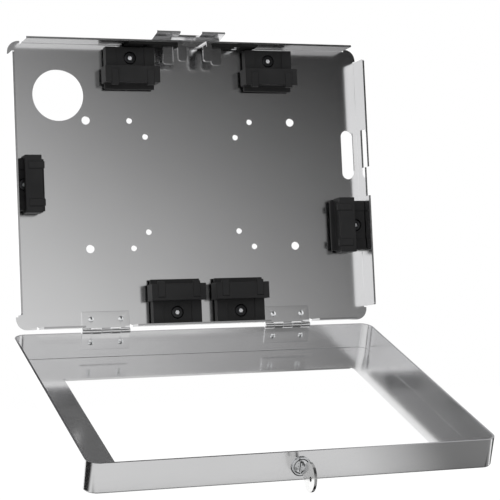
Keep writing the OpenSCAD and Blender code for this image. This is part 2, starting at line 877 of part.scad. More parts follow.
module lock_plug() {
  color([0.8, 0.81, 0.82])
  opened()
  translate([0, -lock_y, 0])
  difference() {
    union() {
      rod_z(0, 0, plug_low, plug_top, plug_d);
      rod_z(0, 0, cam_low - seat_gap, plug_low + 0.5, spigot_d);
    }
    block(-keyway_w / 2, keyway_w / 2, -keyway_len / 2, keyway_len / 2,
      plug_top - key_in - 1, plug_top + 1);
    rod_z(0, 0, cam_low - 1, cam_low + cam_t + 1, cam_screw_d + 2 * shank_gap);
  }
}

module lock_cam() {
  color([0.84, 0.85, 0.86])
  opened()
  translate([0, -lock_y, cam_low])
  linear_extrude(cam_t)
  difference() {
    union() {
      circle(d = lock_body_d - 2);
      intersection() {
        translate([-cam_w / 2, -cam_reach])
        square([cam_w, cam_reach]);
        circle(r = cam_reach, $fn = 96);
      }
    }
    circle(d = spigot_d + 2 * seat_gap);
  }
}

module cam_screw() {
  color([0.86, 0.87, 0.88])
  opened()
  translate([0, -lock_y, 0])
  difference() {
    union() {
      rod_z(0, 0, cam_low - seat_gap * 2 - cam_head_h, cam_low - seat_gap * 2, cam_head_d);
      rod_z(0, 0, cam_low - seat_gap * 2 - 0.1, cam_low + cam_t + 0.5, cam_screw_d);
    }
    for (a = [0, 90])
      rotate([0, 0, a])
      block(-2, 2, -0.5, 0.5, cam_low - 4, cam_low - seat_gap * 2 - cam_head_h + 0.9);
  }
}

module key() {
  color([0.85, 0.86, 0.87])
  opened()
  translate([0, -lock_y, cover_top + lock_face_h])
  rotate([90, 0, 90])
  translate([0, 0, -key_t / 2])
  linear_extrude(key_t)
  difference() {
    union() {
      translate([-key_blade_w / 2, -key_in])
      square([key_blade_w, key_in + key_neck + 3]);
      translate([0, key_neck + key_bow_len / 2])
      scale([key_bow_w / key_bow_len, 1])
      circle(d = key_bow_len, $fn = 96);
    }
    translate([0, key_neck + key_bow_len - key_hole_in])
    circle(d = key_hole_d);
    for (i = [-1.5, -0.5, 0.5, 1.5])
      translate([i * key_dot_step, key_dot_out])
      circle(d = key_dot_d, $fn = 24);
    translate([key_blade_w / 2, -key_in + 1.4])
    circle(d = 1.6, $fn = 24);
    translate([key_blade_w / 2, -key_in + 3.6])
    circle(d = 2.2, $fn = 24);
    translate([key_blade_w / 2, -key_in + 5.8])
    circle(d = 1.6, $fn = 24);
  }
}

// one base in its holder's frame: x across, y outward from the tablet, z off the plate
module base_shape(end, screw) {
  color([0.1, 0.1, 0.1])
  difference() {
    union() {
      translate([-base_w / 2, base_start, foot_h])
      cube([base_w, end - base_start, base_h - foot_h]);
      translate([-foot_w / 2, base_start, seat_gap])
      cube([foot_w, end - base_start - bend_r, foot_h]);
    }
    translate([-strip_in, base_start - 1, base_h - base_dip])
    cube([2 * strip_in, end - base_start + 2, base_dip + 1]);
    translate([-tongue_w / 2 - channel_gap, base_start - 1, tongue_z0 - channel_gap])
    cube([tongue_w + 2 * channel_gap, end - base_start + 1 - base_end_wall,
      tongue_z1 - tongue_z0 + 2 * channel_gap]);
    translate([0, screw, tongue_z1])
    cylinder(h = base_h, d = recess_d);
    translate([0, screw, -1])
    cylinder(h = base_h, d = screw_hole_d);
  }
}

// one sliding jaw in its holder's frame, with its forked tongue under the screw's head
module jaw_shape(end, screw) {
  tongue_end = end - base_end_wall - slide_out - channel_gap;
  color([0.1, 0.1, 0.1])
  difference() {
    union() {
      difference() {
        translate([-jaw_w / 2, 0, jaw_lift])
        cube([jaw_w, jaw_len, jaw_h - jaw_lift]);
        translate([-base_w / 2 - free_gap, jaw_wall, jaw_lift - 1])
        cube([base_w + 2 * free_gap, jaw_len, base_h + free_gap - jaw_lift + 1]);
      }
      translate([-tongue_w / 2, jaw_wall - 1, tongue_z0])
      cube([tongue_w, tongue_end - jaw_wall + 1, tongue_z1 - tongue_z0]);
      translate([-jaw_w / 2 + 2, -ledge_reach, jaw_lift])
      cube([jaw_w - 4, ledge_reach + 1, ledge_h - jaw_lift]);
      for (s = [-1, 1])
        translate([s * finger_x - finger_w / 2, -finger_reach, jaw_h - finger_t])
        cube([finger_w, finger_len, finger_t + finger_rise]);
    }
    translate([-slot_w / 2, screw - slide_out, tongue_z0 - 1])
    cube([slot_w, end, tongue_z1 - tongue_z0 + 2]);
    translate([0, screw - slide_out, tongue_z0 - 1])
    cylinder(h = tongue_z1 - tongue_z0 + 2, d = slot_w);
  }
}

// base screw in its holder's frame
module base_screw_shape(screw) {
  head_z = tongue_z1 + seat_gap;
  rim = 0.4;
  color([0.3, 0.3, 0.31])
  translate([0, screw, 0])
  difference() {
    union() {
      translate([0, 0, head_z])
      cylinder(h = screw_head_h - rim, d = screw_head_d);
      translate([0, 0, head_z + screw_head_h - rim - 0.01])
      cylinder(h = rim, d1 = screw_head_d, d2 = screw_head_d - 2 * rim);
      translate([0, 0, -sheet_t - seat_gap - nut_t])
      cylinder(h = head_z + sheet_t + seat_gap + nut_t + 0.5, d = screw_d);
    }
    translate([0, 0, head_z + screw_head_h - socket_depth])
    cylinder(h = socket_depth + 1, d = socket_af / cos(30), $fn = 6);
  }
}

// nut behind the plate in its holder's frame
module base_nut_shape(screw) {
  color([0.6, 0.6, 0.61])
  translate([0, screw, -sheet_t - seat_gap - nut_t])
  difference() {
    cylinder(h = nut_t, d = nut_af / cos(30), $fn = 6);
    translate([0, 0, -1])
    cylinder(h = nut_t + 2, d = screw_d + 2 * run_gap);
  }
}

// places a holder's frame on the plate: outward direction as an angle from up
module seated(x, z, turn) {
  translate([x, front_y, z])
  rotate([0, turn, 0])
  rotate([90, 0, 0])
  children();
}

module at_top_left() {
  seated(top_left_x, bay_top, 0)
  children();
}

module at_top_right() {
  seated(top_right_x, bay_top, 0)
  children();
}

module at_bottom_left() {
  seated(bottom_left_x, -bay_bottom, 180)
  children();
}

module at_bottom_right() {
  seated(bottom_right_x, -bay_bottom, 180)
  children();
}

module at_left() {
  seated(-bay_left, left_z, -90)
  children();
}

module at_right() {
  seated(bay_right, right_z, 90)
  children();
}

module base_top_left() {
  at_top_left()
  base_shape(top_end, top_screw);
}

module base_top_right() {
  at_top_right()
  base_shape(top_end, top_screw);
}

module base_bottom_left() {
  at_bottom_left()
  base_shape(bottom_end, bottom_screw);
}

module base_bottom_right() {
  at_bottom_right()
  base_shape(bottom_end, bottom_screw);
}

module base_left() {
  at_left()
  base_shape(left_end, left_screw);
}

module base_right() {
  at_right()
  base_shape(right_end, right_screw);
}

module jaw_top_left() {
  at_top_left()
  jaw_shape(top_end, top_screw);
}

module jaw_top_right() {
  at_top_right()
  jaw_shape(top_end, top_screw);
}

module jaw_bottom_left() {
  at_bottom_left()
  jaw_shape(bottom_end, bottom_screw);
}

module jaw_bottom_right() {
  at_bottom_right()
  jaw_shape(bottom_end, bottom_screw);
}

module jaw_left() {
  at_left()
  jaw_shape(left_end, left_screw);
}

module jaw_right() {
  at_right()
  jaw_shape(right_end, right_screw);
}

module screw_top_left() {
  at_top_left()
  base_screw_shape(top_screw);
}

module screw_top_right() {
  at_top_right()
  base_screw_shape(top_screw);
}

module screw_bottom_left() {
  at_bottom_left()
  base_screw_shape(bottom_screw);
}

module screw_bottom_right() {
  at_bottom_right()
  base_screw_shape(bottom_screw);
}

module screw_left() {
  at_left()
  base_screw_shape(left_screw);
}

module screw_right() {
  at_right()
  base_screw_shape(right_screw);
}

module nut_top_left() {
  at_top_left()
  base_nut_shape(top_screw);
}

module nut_top_right() {
  at_top_right()
  base_nut_shape(top_screw);
}

module nut_bottom_left() {
  at_bottom_left()
  base_nut_shape(bottom_screw);
}

module nut_bottom_right() {
  at_bottom_right()
  base_nut_shape(bottom_screw);
}

module nut_left() {
  at_left()
  base_nut_shape(left_screw);
}

module nut_right() {
  at_right()
  base_nut_shape(right_screw);
}

back_plate();
lock_hood();
hood_rivets();
cover_frame();
left_hinge_plate_leaf();
right_hinge_plate_leaf();
left_hinge_cover_leaf();
right_hinge_cover_leaf();
left_hinge_pin();
right_hinge_pin();
plate_rivets();
cover_rivets();
lock_strike();
strike_rivets();
buffer_strip();
lock_body();
lock_nut();
lock_plug();
lock_cam();
cam_screw();
key();
base_top_left();
jaw_top_left();
base_top_right();
jaw_top_right();
base_bottom_left();
jaw_bottom_left();
base_bottom_right();
jaw_bottom_right();
base_left();
jaw_left();
base_right();
jaw_right();
screw_top_left();
screw_top_right();
screw_bottom_left();
screw_bottom_right();
screw_left();
screw_right();
nut_top_left();
nut_top_right();
nut_bottom_left();
nut_bottom_right();
nut_left();
nut_right();
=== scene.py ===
import json
import math
import bpy
import bmesh
from mathutils import Matrix, Vector


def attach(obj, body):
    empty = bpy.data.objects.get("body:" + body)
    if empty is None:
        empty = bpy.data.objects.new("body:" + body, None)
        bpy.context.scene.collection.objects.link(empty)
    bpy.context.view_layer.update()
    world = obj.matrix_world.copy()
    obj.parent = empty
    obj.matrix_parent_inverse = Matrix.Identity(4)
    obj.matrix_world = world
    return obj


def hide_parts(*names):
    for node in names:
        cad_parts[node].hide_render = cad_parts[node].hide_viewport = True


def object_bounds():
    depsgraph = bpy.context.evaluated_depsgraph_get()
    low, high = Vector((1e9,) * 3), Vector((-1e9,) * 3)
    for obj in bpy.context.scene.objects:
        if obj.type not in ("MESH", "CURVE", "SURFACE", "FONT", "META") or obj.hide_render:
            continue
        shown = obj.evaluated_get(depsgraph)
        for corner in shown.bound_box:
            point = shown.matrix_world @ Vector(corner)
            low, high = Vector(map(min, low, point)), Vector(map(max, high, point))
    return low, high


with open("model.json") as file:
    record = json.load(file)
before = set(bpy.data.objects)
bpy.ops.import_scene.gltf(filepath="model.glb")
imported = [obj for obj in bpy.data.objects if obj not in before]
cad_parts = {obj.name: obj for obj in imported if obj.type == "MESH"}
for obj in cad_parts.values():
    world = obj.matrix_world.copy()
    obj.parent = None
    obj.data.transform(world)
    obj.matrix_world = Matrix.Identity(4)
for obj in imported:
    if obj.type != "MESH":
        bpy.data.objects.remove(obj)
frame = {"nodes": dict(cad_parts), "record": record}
cadBounds = [list(corner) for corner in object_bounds()]
nodes = frame["nodes"]
scene = bpy.context.scene
scene.view_settings.view_transform = "Standard"
print("stage 1: frame loaded,", len(nodes), "nodes")

# fitted to the photograph, which is 500 by 500 pixels
cameraSetup = {
    "place": (-0.420175, -1.263050, -0.150093),
    "yaw": 20.3485,
    "pitch": 4.0776,
    "roll": -2.4991,
    "lens": 121.748,
    "sensor": 36,
    "shift": (-0.004075, 0.003226),
    "clip": (0.05, 60),
}


def placeCamera(setup):
    yaw, pitch, roll = (math.radians(setup[key]) for key in ("yaw", "pitch", "roll"))
    level = math.cos(pitch)
    forward = Vector((math.sin(yaw) * level, math.cos(yaw) * level, math.sin(pitch)))
    right = Vector((math.cos(yaw), -math.sin(yaw), 0))
    up = right.cross(forward)
    tiltedRight = right * math.cos(roll) + up * math.sin(roll)
    tiltedUp = up * math.cos(roll) - right * math.sin(roll)
    turn = Matrix((tiltedRight, tiltedUp, -forward)).transposed()
    data = bpy.data.cameras.new("photoCamera")
    data.lens = setup["lens"]
    data.sensor_width = setup["sensor"]
    data.shift_x, data.shift_y = setup["shift"]
    data.clip_start, data.clip_end = setup["clip"]
    camera = bpy.data.objects.new("photoCamera", data)
    camera.matrix_world = Matrix.Translation(setup["place"]) @ turn.to_4x4()
    scene.collection.objects.link(camera)
    scene.camera = camera


def meshObject(name, bm):
    mesh = bpy.data.meshes.new(name)
    bm.to_mesh(mesh)
    bm.free()
    thing = bpy.data.objects.new(name, mesh)
    scene.collection.objects.link(thing)
    return thing


# 1 where the camera or a reflection looks, 0 for the light that falls on the part
def seenShare(tree):
    path = tree.nodes.new("ShaderNodeLightPath")
    seen = tree.nodes.new("ShaderNodeMath")
    seen.operation = "MAXIMUM"
    tree.links.new(path.outputs["Is Camera Ray"], seen.inputs[0])
    tree.links.new(path.outputs["Is Glossy Ray"], seen.inputs[1])
    return seen.outputs[0]


skySetup = {"colour": (1, 1, 1, 1), "forSight": 1.0, "forLight": 0.55}


def makeSky(setup):
    world = bpy.data.worlds.new("studioWorld")
    world.use_nodes = True
    scene.world = world
    tree = world.node_tree
    back = tree.nodes["Background"]
    back.inputs["Color"].default_value = setup["colour"]
    level = tree.nodes.new("ShaderNodeMapRange")
    level.inputs["To Min"].default_value = setup["forLight"]
    level.inputs["To Max"].default_value = setup["forSight"]
    tree.links.new(seenShare(tree), level.inputs["Value"])
    tree.links.new(level.outputs["Result"], back.inputs["Strength"])


# drop is counted down from the part's lowest point
floorSetup = {
    "drop": 0.09,
    "reach": 9,
    "colour": (0.86, 0.86, 0.86, 1),
    "rough": 0.9,
    "sheen": 0.1,
    "glow": 1.06,
}


def makeFloor(setup):
    bm = bmesh.new()
    bmesh.ops.create_grid(bm, x_segments=1, y_segments=1, size=setup["reach"])
    bmesh.ops.translate(bm, verts=bm.verts, vec=(0, 0, cadBounds[0][2] - setup["drop"]))
    floor = meshObject("studioFloor", bm)
    paint = bpy.data.materials.new("floorPaint")
    paint.use_nodes = True
    tree = paint.node_tree
    shader = tree.nodes["Principled BSDF"]
    shader.inputs["Base Color"].default_value = setup["colour"]
    shader.inputs["Roughness"].default_value = setup["rough"]
    shader.inputs["Specular IOR Level"].default_value = setup["sheen"]
    glow = tree.nodes.new("ShaderNodeEmission")
    glow.inputs["Strength"].default_value = setup["glow"]
    mix = tree.nodes.new("ShaderNodeMixShader")
    tree.links.new(seenShare(tree), mix.inputs["Fac"])
    tree.links.new(shader.outputs["BSDF"], mix.inputs[1])
    tree.links.new(glow.outputs["Emission"], mix.inputs[2])
    tree.links.new(mix.outputs["Shader"], tree.nodes["Material Output"].inputs["Surface"])
    floor.data.materials.append(paint)


lampAim = (0, -0.08, -0.05)
lampSetup = {
    "keyLamp": {"power": 14, "size": 1.6, "place": (-1.3, -1.5, 1.5)},
    "fillLamp": {"power": 7, "size": 1.8, "place": (1.6, -1.2, 0.9)},
}


def makeLamp(name, power, size, place):
    data = bpy.data.lights.new(name, "AREA")
    data.energy = power
    data.size = size
    lamp = bpy.data.objects.new(name, data)
    lamp.visible_glossy = False
    turn = (Vector(lampAim) - Vector(place)).to_track_quat("-Z", "Y")
    lamp.matrix_world = Matrix.Translation(place) @ turn.to_matrix().to_4x4()
    scene.collection.objects.link(lamp)


# soft studio cards that only reflections see. Each stop is a place across the card,
# from its middle, with the tone at the card's lower edge and at its upper edge there.
# A tone below nought makes the card black before it reaches that edge. A card that
# faces up is turned half around, so its stops run from right to left.
cardSteps = 48
cardSetup = {
    "gradedCard": {
        "place": (0.6, -1.55, 0.225), "facing": (0, -1, 0), "size": (1.3, 1.15), "fade": 0.09,
        "stops": (
            (-0.65, 1.14, -0.12), (-0.385, 1.02, -0.15), (-0.2, 0.83, -0.24),
            (-0.11, 0.74, -0.25), (0.17, 0.38, -0.17), (0.4, 0.17, -0.09), (0.65, 0.06, -0.04),
        ),
    },
    "canopyCard": {
        "place": (-0.15, -1.25, 1.3), "facing": (0, -0.66, 0.68), "size": (3.2, 1.6), "fade": 0.08,
        "stops": (
            (-1.6, 0.12, 0.12), (-0.8, 0.2, 0.2), (-0.73, 0.25, 0.25), (-0.57, 0.5, 0.46),
            (-0.45, 0.52, 0.46), (0, 0.32, 0.3), (0.56, 0.15, 0.15), (1.6, 0.12, 0.12),
        ),
    },
    "floorCardFront": {
        "place": (-0.08, -0.33, -0.306), "facing": (0, 0, 1), "size": (0.5, 0.36), "fade": 0.12,
        "stops": ((0, 0.72, 0.72),),
    },
    "floorCardRight": {
        "place": (0.29, -0.29, -0.3), "facing": (0, 0, 1), "size": (0.42, 0.36), "fade": 0.22,
        "stops": ((-0.21, 0.42, 0.42), (0.21, 0.14, 0.14)),
    },
    "floorCardLeft": {
        "place": (-0.5, -0.1, -0.3), "facing": (0, 0, 1), "size": (0.5, 0.5), "fade": 0.1,
        "stops": ((0, 0.02, 0.02),),
    },
    "floorCardUnder": {
        "place": (0.07, -0.055, -0.312), "facing": (0, 0, 1), "size": (0.62, 0.27), "fade": 0.1,
        "stops": ((0, 0.03, 0.03),),
    },
    "floorCardEdge": {
        "place": (0.02, -0.231, -0.297), "facing": (0, 0, 1), "size": (0.5, 0.06), "fade": 0.12,
        "stops": ((0, 0.03, 0.03),),
    },
    "floorCardGlint": {
        "place": (0.345, -0.21, -0.296), "facing": (0, 0, 1), "size": (0.08, 0.16), "fade": 0.25,
        "stops": ((0, 1, 1),),
    },
    "floorCardCorner": {
        "place": (0.76, 0.33, -0.301), "facing": (0, 0, 1), "size": (0.76, 1.2), "fade": 0.06,
        "stops": ((0, 0.03, 0.03),),
    },
    "floorCardFar": {
        "place": (0, -2.1, -0.316), "facing": (0, 0, 1), "size": (4.4, 2.8), "fade": 0.25,
        "stops": ((-2.2, 0.75, 0.85), (-0.4, 0.3, 0.42), (0.5, 0.55, 0.65), (2.2, 0.25, 0.4)),
    },
    "floorCardBack": {
        "place": (0, 1.9, -0.316), "facing": (0, 0, 1), "size": (4.4, 2.8), "fade": 0.25,
        "stops": (
            (-2.2, 0.8, 0.7), (-0.4, 0.36, 0.25), (0.1, 0.62, 0.5), (0.3, 1.3, 1.3),
            (1.5, 1.3, 1.3), (1.7, 0.5, 0.4), (2.2, 0.4, 0.25),
        ),
    },
    "backCardLeft": {
        "place": (-0.75, 2.5, 0.3), "facing": (0, -1, 0), "size": (1.1, 1.3), "fade": 0.08,
        "stops": ((0, 1.3, 1.3),),
    },
}


def toneAcross(stops, across):
    for (fromX, fromLow, fromHigh), (toX, toLow, toHigh) in zip(stops, stops[1:]):
        if across <= toX:
            share = max(0.0, (across - fromX) / (toX - fromX))
            return fromLow + (toLow - fromLow) * share, fromHigh + (toHigh - fromHigh) * share
    return stops[-1][1], stops[-1][2]


def makeCard(name, place, facing, size, fade, stops):
    bm = bmesh.new()
    bmesh.ops.create_grid(bm, x_segments=cardSteps, y_segments=cardSteps, size=0.5)
    tint = bm.verts.layers.float_color.new("tint")
    for vert in bm.verts:
        u, v = vert.co.x + 0.5, vert.co.y + 0.5
        low, high = toneAcross(stops, vert.co.x * size[0])
        tone = max(0.0, low * (1 - v) + high * v)
        near = max(0.0, min(1.0, min(u, 1 - u, v, 1 - v) / fade))
        vert[tint] = (tone, tone, tone, near * near * (3 - 2 * near))
    bmesh.ops.scale(bm, verts=bm.verts, vec=(size[0], size[1], 1))
    turn = Vector(facing).to_track_quat("Z", "Y").to_matrix().to_4x4()
    bmesh.ops.transform(bm, matrix=Matrix.Translation(place) @ turn, verts=bm.verts)
    card = meshObject(name, bm)
    paint = bpy.data.materials.new(name + "Paint")
    paint.use_nodes = True
    tree = paint.node_tree
    tree.nodes.remove(tree.nodes["Principled BSDF"])
    colour = tree.nodes.new("ShaderNodeAttribute")
    colour.attribute_name = "tint"
    glow = tree.nodes.new("ShaderNodeEmission")
    clear = tree.nodes.new("ShaderNodeBsdfTransparent")
    mix = tree.nodes.new("ShaderNodeMixShader")
    tree.links.new(colour.outputs["Color"], glow.inputs["Color"])
    tree.links.new(colour.outputs["Alpha"], mix.inputs["Fac"])
    tree.links.new(clear.outputs["BSDF"], mix.inputs[1])
    tree.links.new(glow.outputs["Emission"], mix.inputs[2])
    tree.links.new(mix.outputs["Shader"], tree.nodes["Material Output"].inputs["Surface"])
    card.data.materials.append(paint)
    card.visible_camera = False
    card.visible_diffuse = False
    card.visible_shadow = False
    card.visible_transmission = False


placeCamera(cameraSetup)
makeSky(skySetup)
makeFloor(floorSetup)
for name, setup in lampSetup.items():
    makeLamp(name, **setup)
for name, setup in cardSetup.items():
    makeCard(name, **setup)
print("stage 2: camera and studio")


# the part of the noise's range that is spread over a finish
noiseSpan = (0.3, 0.7)
toneDetail = 3


def startMaterial(name):
    material = bpy.data.materials.new(name)
    material.use_nodes = True
    tree = material.node_tree
    return material, tree, tree.nodes["Principled BSDF"]


def grainCoords(tree, stretch):
    coords = tree.nodes.new("ShaderNodeTexCoord")
    mapping = tree.nodes.new("ShaderNodeMapping")
    mapping.inputs["Scale"].default_value = stretch
    tree.links.new(coords.outputs["Object"], mapping.inputs["Vector"])
    return mapping.outputs["Vector"]


def noiseNode(tree, vector, scale, detail):
    noise = tree.nodes.new("ShaderNodeTexNoise")
    noise.inputs["Scale"].default_value = scale
    noise.inputs["Detail"].default_value = detail
    tree.links.new(vector, noise.inputs["Vector"])
    return noise


def roughnessNoise(tree, vector, scale, detail, rough, shader):
    noise = noiseNode(tree, vector, scale, detail)
    spread = tree.nodes.new("ShaderNodeMapRange")
    spread.inputs["From Min"].default_value = noiseSpan[0]
    spread.inputs["From Max"].default_value = noiseSpan[1]
    spread.inputs["To Min"].default_value = rough[0]
    spread.inputs["To Max"].default_value = rough[1]
    tree.links.new(noise.outputs["Fac"], spread.inputs["Value"])
    tree.links.new(spread.outputs["Result"], shader.inputs["Roughness"])
    return noise


def toneNoise(tree, vector, dark, light, shader):
    noise = noiseNode(tree, vector, 1, toneDetail)
    ramp = tree.nodes.new("ShaderNodeValToRGB")
    for element, place, tone in zip(ramp.color_ramp.elements, noiseSpan, (dark, light)):
        element.position = place
        element.color = (*tone, 1)
    tree.links.new(noise.outputs["Fac"], ramp.inputs["Fac"])
    tree.links.new(ramp.outputs["Color"], shader.inputs["Base Color"])


def grainBump(tree, noise, strength, distance, shader):
    bump = tree.nodes.new("ShaderNodeBump")
    bump.inputs["Strength"].default_value = strength
    bump.inputs["Distance"].default_value = distance
    tree.links.new(noise.outputs["Fac"], bump.inputs["Height"])
    tree.links.new(bump.outputs["Normal"], shader.inputs["Normal"])


metalGrain = {"broad": (9, 9, 9), "scale": 1, "detail": 2, "bump": 0.012, "depth": 0.00005}
metalSetup = {
    "plateSteel": {
        "dark": (0.80, 0.80, 0.805), "light": (0.84, 0.84, 0.845),
        "rough": (0.14, 0.17), "stretch": (60, 60, 900),
    },
    "coverSteel": {
        "dark": (0.78, 0.78, 0.785), "light": (0.83, 0.83, 0.835),
        "rough": (0.13, 0.16), "stretch": (60, 60, 900),
    },
    "hingeSteel": {
        "dark": (0.76, 0.76, 0.765), "light": (0.82, 0.82, 0.825),
        "rough": (0.07, 0.11), "stretch": (80, 80, 900),
    },
    "strikeSteel": {
        "dark": (0.56, 0.56, 0.565), "light": (0.63, 0.63, 0.635),
        "rough": (0.1, 0.16), "stretch": (60, 60, 900),
    },
    "brightSteel": {
        "dark": (0.72, 0.73, 0.74), "light": (0.8, 0.81, 0.82),
        "rough": (0.08, 0.16), "stretch": (300, 300, 300),
    },
    "lockChrome": {
        "dark": (0.6, 0.61, 0.62), "light": (0.68, 0.69, 0.7),
        "rough": (0.06, 0.12), "stretch": (300, 300, 300),
    },
    "plugSteel": {
        "dark": (0.76, 0.77, 0.78), "light": (0.82, 0.83, 0.84),
        "rough": (0.12, 0.2), "stretch": (300, 300, 300),
    },
    "keyNickel": {
        "dark": (0.74, 0.74, 0.74), "light": (0.82, 0.82, 0.81),
        "rough": (0.12, 0.2), "stretch": (300, 300, 300),
    },
    # darker finish for the key's edge faces: a painted dark reflection of the surroundings
    "keyRimPaintedReflection": {
        "dark": (0.2, 0.2, 0.2), "light": (0.42, 0.42, 0.42),
        "rough": (0.18, 0.3), "stretch": (300, 300, 300),
    },
    # near-black finish for the key's holes and their sunk rims: painted shade
    "keyDotPaintedShade": {
        "dark": (0.01, 0.01, 0.01), "light": (0.02, 0.02, 0.02),
        "rough": (0.6, 0.7), "stretch": (300, 300, 300),
    },
    "flangeEdge": {
        "dark": (0.5, 0.5, 0.505), "light": (0.6, 0.6, 0.605),
        "rough": (0.15, 0.25), "stretch": (200, 900, 900),
    },
    "cutSteel": {
        "dark": (0.24, 0.24, 0.25), "light": (0.36, 0.36, 0.37),
        "rough": (0.25, 0.4), "stretch": (200, 900, 900),
    },
    "blackScrew": {
        "dark": (0.03, 0.03, 0.032), "light": (0.05, 0.05, 0.052),
        "rough": (0.3, 0.4), "stretch": (400, 400, 400),
    },
    "screwSteel": {
        "dark": (0.42, 0.42, 0.43), "light": (0.52, 0.52, 0.53),
        "rough": (0.22, 0.35), "stretch": (400, 400, 400),
    },
}


def metalFinish(name, dark, light, rough, stretch):
    material, tree, shader = startMaterial(name)
    shader.inputs["Metallic"].default_value = 1
    grain = grainCoords(tree, stretch)
    toneNoise(tree, grainCoords(tree, metalGrain["broad"]), dark, light, shader)
    noise = roughnessNoise(tree, grain, metalGrain["scale"], metalGrain["detail"], rough, shader)
    grainBump(tree, noise, metalGrain["bump"], metalGrain["depth"], shader)
    return material


plasticGrain = {
    "broad": (40, 40, 40), "fine": (900, 900, 900), "scale": 1.5, "detail": 3,
    "bump": 0.12, "depth": 0.0002,
}
plasticSetup = {
    "holderPlastic": {
        "dark": (0.02, 0.02, 0.0205), "light": (0.027, 0.027, 0.0275),
        "rough": (0.42, 0.52), "sheen": 0.1,
    },
    "bufferRubber": {
        "dark": (0.01, 0.01, 0.01), "light": (0.018, 0.018, 0.018),
        "rough": (0.7, 0.85), "sheen": 0.1,
    },
}


def plasticFinish(name, dark, light, rough, sheen):
    material, tree, shader = startMaterial(name)
    shader.inputs["Specular IOR Level"].default_value = sheen
    fine = grainCoords(tree, plasticGrain["fine"])
    toneNoise(tree, grainCoords(tree, plasticGrain["broad"]), dark, light, shader)
    noise = roughnessNoise(tree, fine, plasticGrain["scale"], plasticGrain["detail"], rough, shader)
    grainBump(tree, noise, plasticGrain["bump"], plasticGrain["depth"], shader)
    return material


# the screws' sockets, painted near-white as a painted highlight for the screw heads' glint, which
# looks white and not like a mirror in the photograph
socketGlintSetup = {
    "dark": (0.95, 0.955, 0.97), "light": (1, 1, 1), "rough": (0.35, 0.5),
    "stretch": (500, 500, 500), "scale": 2, "detail": 2, "bump": 0.05, "depth": 0.0001,
}


def socketGlintFinish(setup):
    material, tree, shader = startMaterial("socketPaintedGlint")
    shader.inputs["Metallic"].default_value = 0
    coords = grainCoords(tree, setup["stretch"])
    toneNoise(tree, coords, setup["dark"], setup["light"], shader)
    noise = roughnessNoise(tree, coords, setup["scale"], setup["detail"], setup["rough"], shader)
    grainBump(tree, noise, setup["bump"], setup["depth"], shader)
    return material


finishes = {name: metalFinish(name, **setup) for name, setup in metalSetup.items()}
finishes.update({name: plasticFinish(name, **setup) for name, setup in plasticSetup.items()})
finishes["socketPaintedGlint"] = socketGlintFinish(socketGlintSetup)
print("stage 3: materials")


# sharpAngle: edges turned more than this are rounded, creaseAngle: edges that still
# shade as sharp afterwards, cornerAngle: the folds and rims that are rounded one by one
edgeSetup = {
    "weld": 0.000002,
    "sharpAngle": math.radians(14),
    "creaseAngle": math.radians(35),
    "cornerAngle": 1.2,
    "flatAngle": math.radians(0.5),
    "segments": 2,
    "normalWeight": 100,
}


def nodeMesh(nodeName):
    bm = bmesh.new()
    bm.from_mesh(nodes[nodeName].data)
    bmesh.ops.remove_doubles(bm, verts=bm.verts, dist=edgeSetup["weld"])
    return bm


# the node's mesh as it lies when the cover is closed, with whole faces instead of triangles
def closedMesh(nodeName):
    bm = nodeMesh(nodeName)
    bmesh.ops.transform(bm, matrix=closedFrame, verts=bm.verts)
    bmesh.ops.dissolve_limit(
        bm, angle_limit=edgeSetup["flatAngle"], verts=bm.verts, edges=bm.edges,
    )
    return bm


def shadeEdges(bm, angle):
    for face in bm.faces:
        face.smooth = True
    for edge in bm.edges:
        edge.smooth = len(edge.link_faces) != 2 or edge.calc_face_angle(0) < angle


def roundEdges(bm, edges, width, segments):
    return bmesh.ops.bevel(
        bm, geom=edges, offset=width, offset_type="OFFSET", affect="EDGES",
        segments=segments, profile=0.5, material=-1, clamp_overlap=True,
    )["faces"]


def isCorner(edge):
    return len(edge.link_faces) == 2 and edge.calc_face_angle(0) > edgeSetup["cornerAngle"]


def finishObject(nodeName, bm, *finishNames):
    piece = meshObject(nodeName + "Finish", bm)
    level = piece.modifiers.new("level", "WEIGHTED_NORMAL")
    level.mode = "FACE_AREA"
    level.weight = edgeSetup["normalWeight"]
    level.keep_sharp = True
    for finishName in finishNames:
        piece.data.materials.append(finishes[finishName])
    return piece


# faces that already have a second finish keep their edges
def softenEdges(bm, width, segments=edgeSetup["segments"]):
    shadeEdges(bm, edgeSetup["sharpAngle"])
    if width:
        sharp = [
            edge for edge in bm.edges
            if not edge.smooth and not any(face.material_index for face in edge.link_faces)
        ]
        roundEdges(bm, sharp, width, segments)
        shadeEdges(bm, edgeSetup["creaseAngle"])


def softPiece(nodeName, width, *finishNames, segments=edgeSetup["segments"]):
    bm = nodeMesh(nodeName)
    softenEdges(bm, width, segments)
    return finishObject(nodeName, bm, *finishNames)


def bodyOf(nodeName):
    for body, names in frame["record"]["behaviour"]["bodies"].items():
        if nodeName in names:
            return body


def dress(piece, *nodeNames):
    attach(piece, bodyOf(nodeNames[0]))
    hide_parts(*nodeNames)


# the cover and what it carries, seen as they lie when the cover is closed
joints = {joint["name"]: joint for joint in frame["record"]["behaviour"]["joints"]}
hingePlace = Vector(joints["cover_hinge"]["pos_m"])
closing = Matrix.Rotation(math.radians(joints["cover_hinge"]["range_deg"][0]), 4, "X")
closedFrame = Matrix.Translation(hingePlace) @ closing @ Matrix.Translation(-hingePlace)

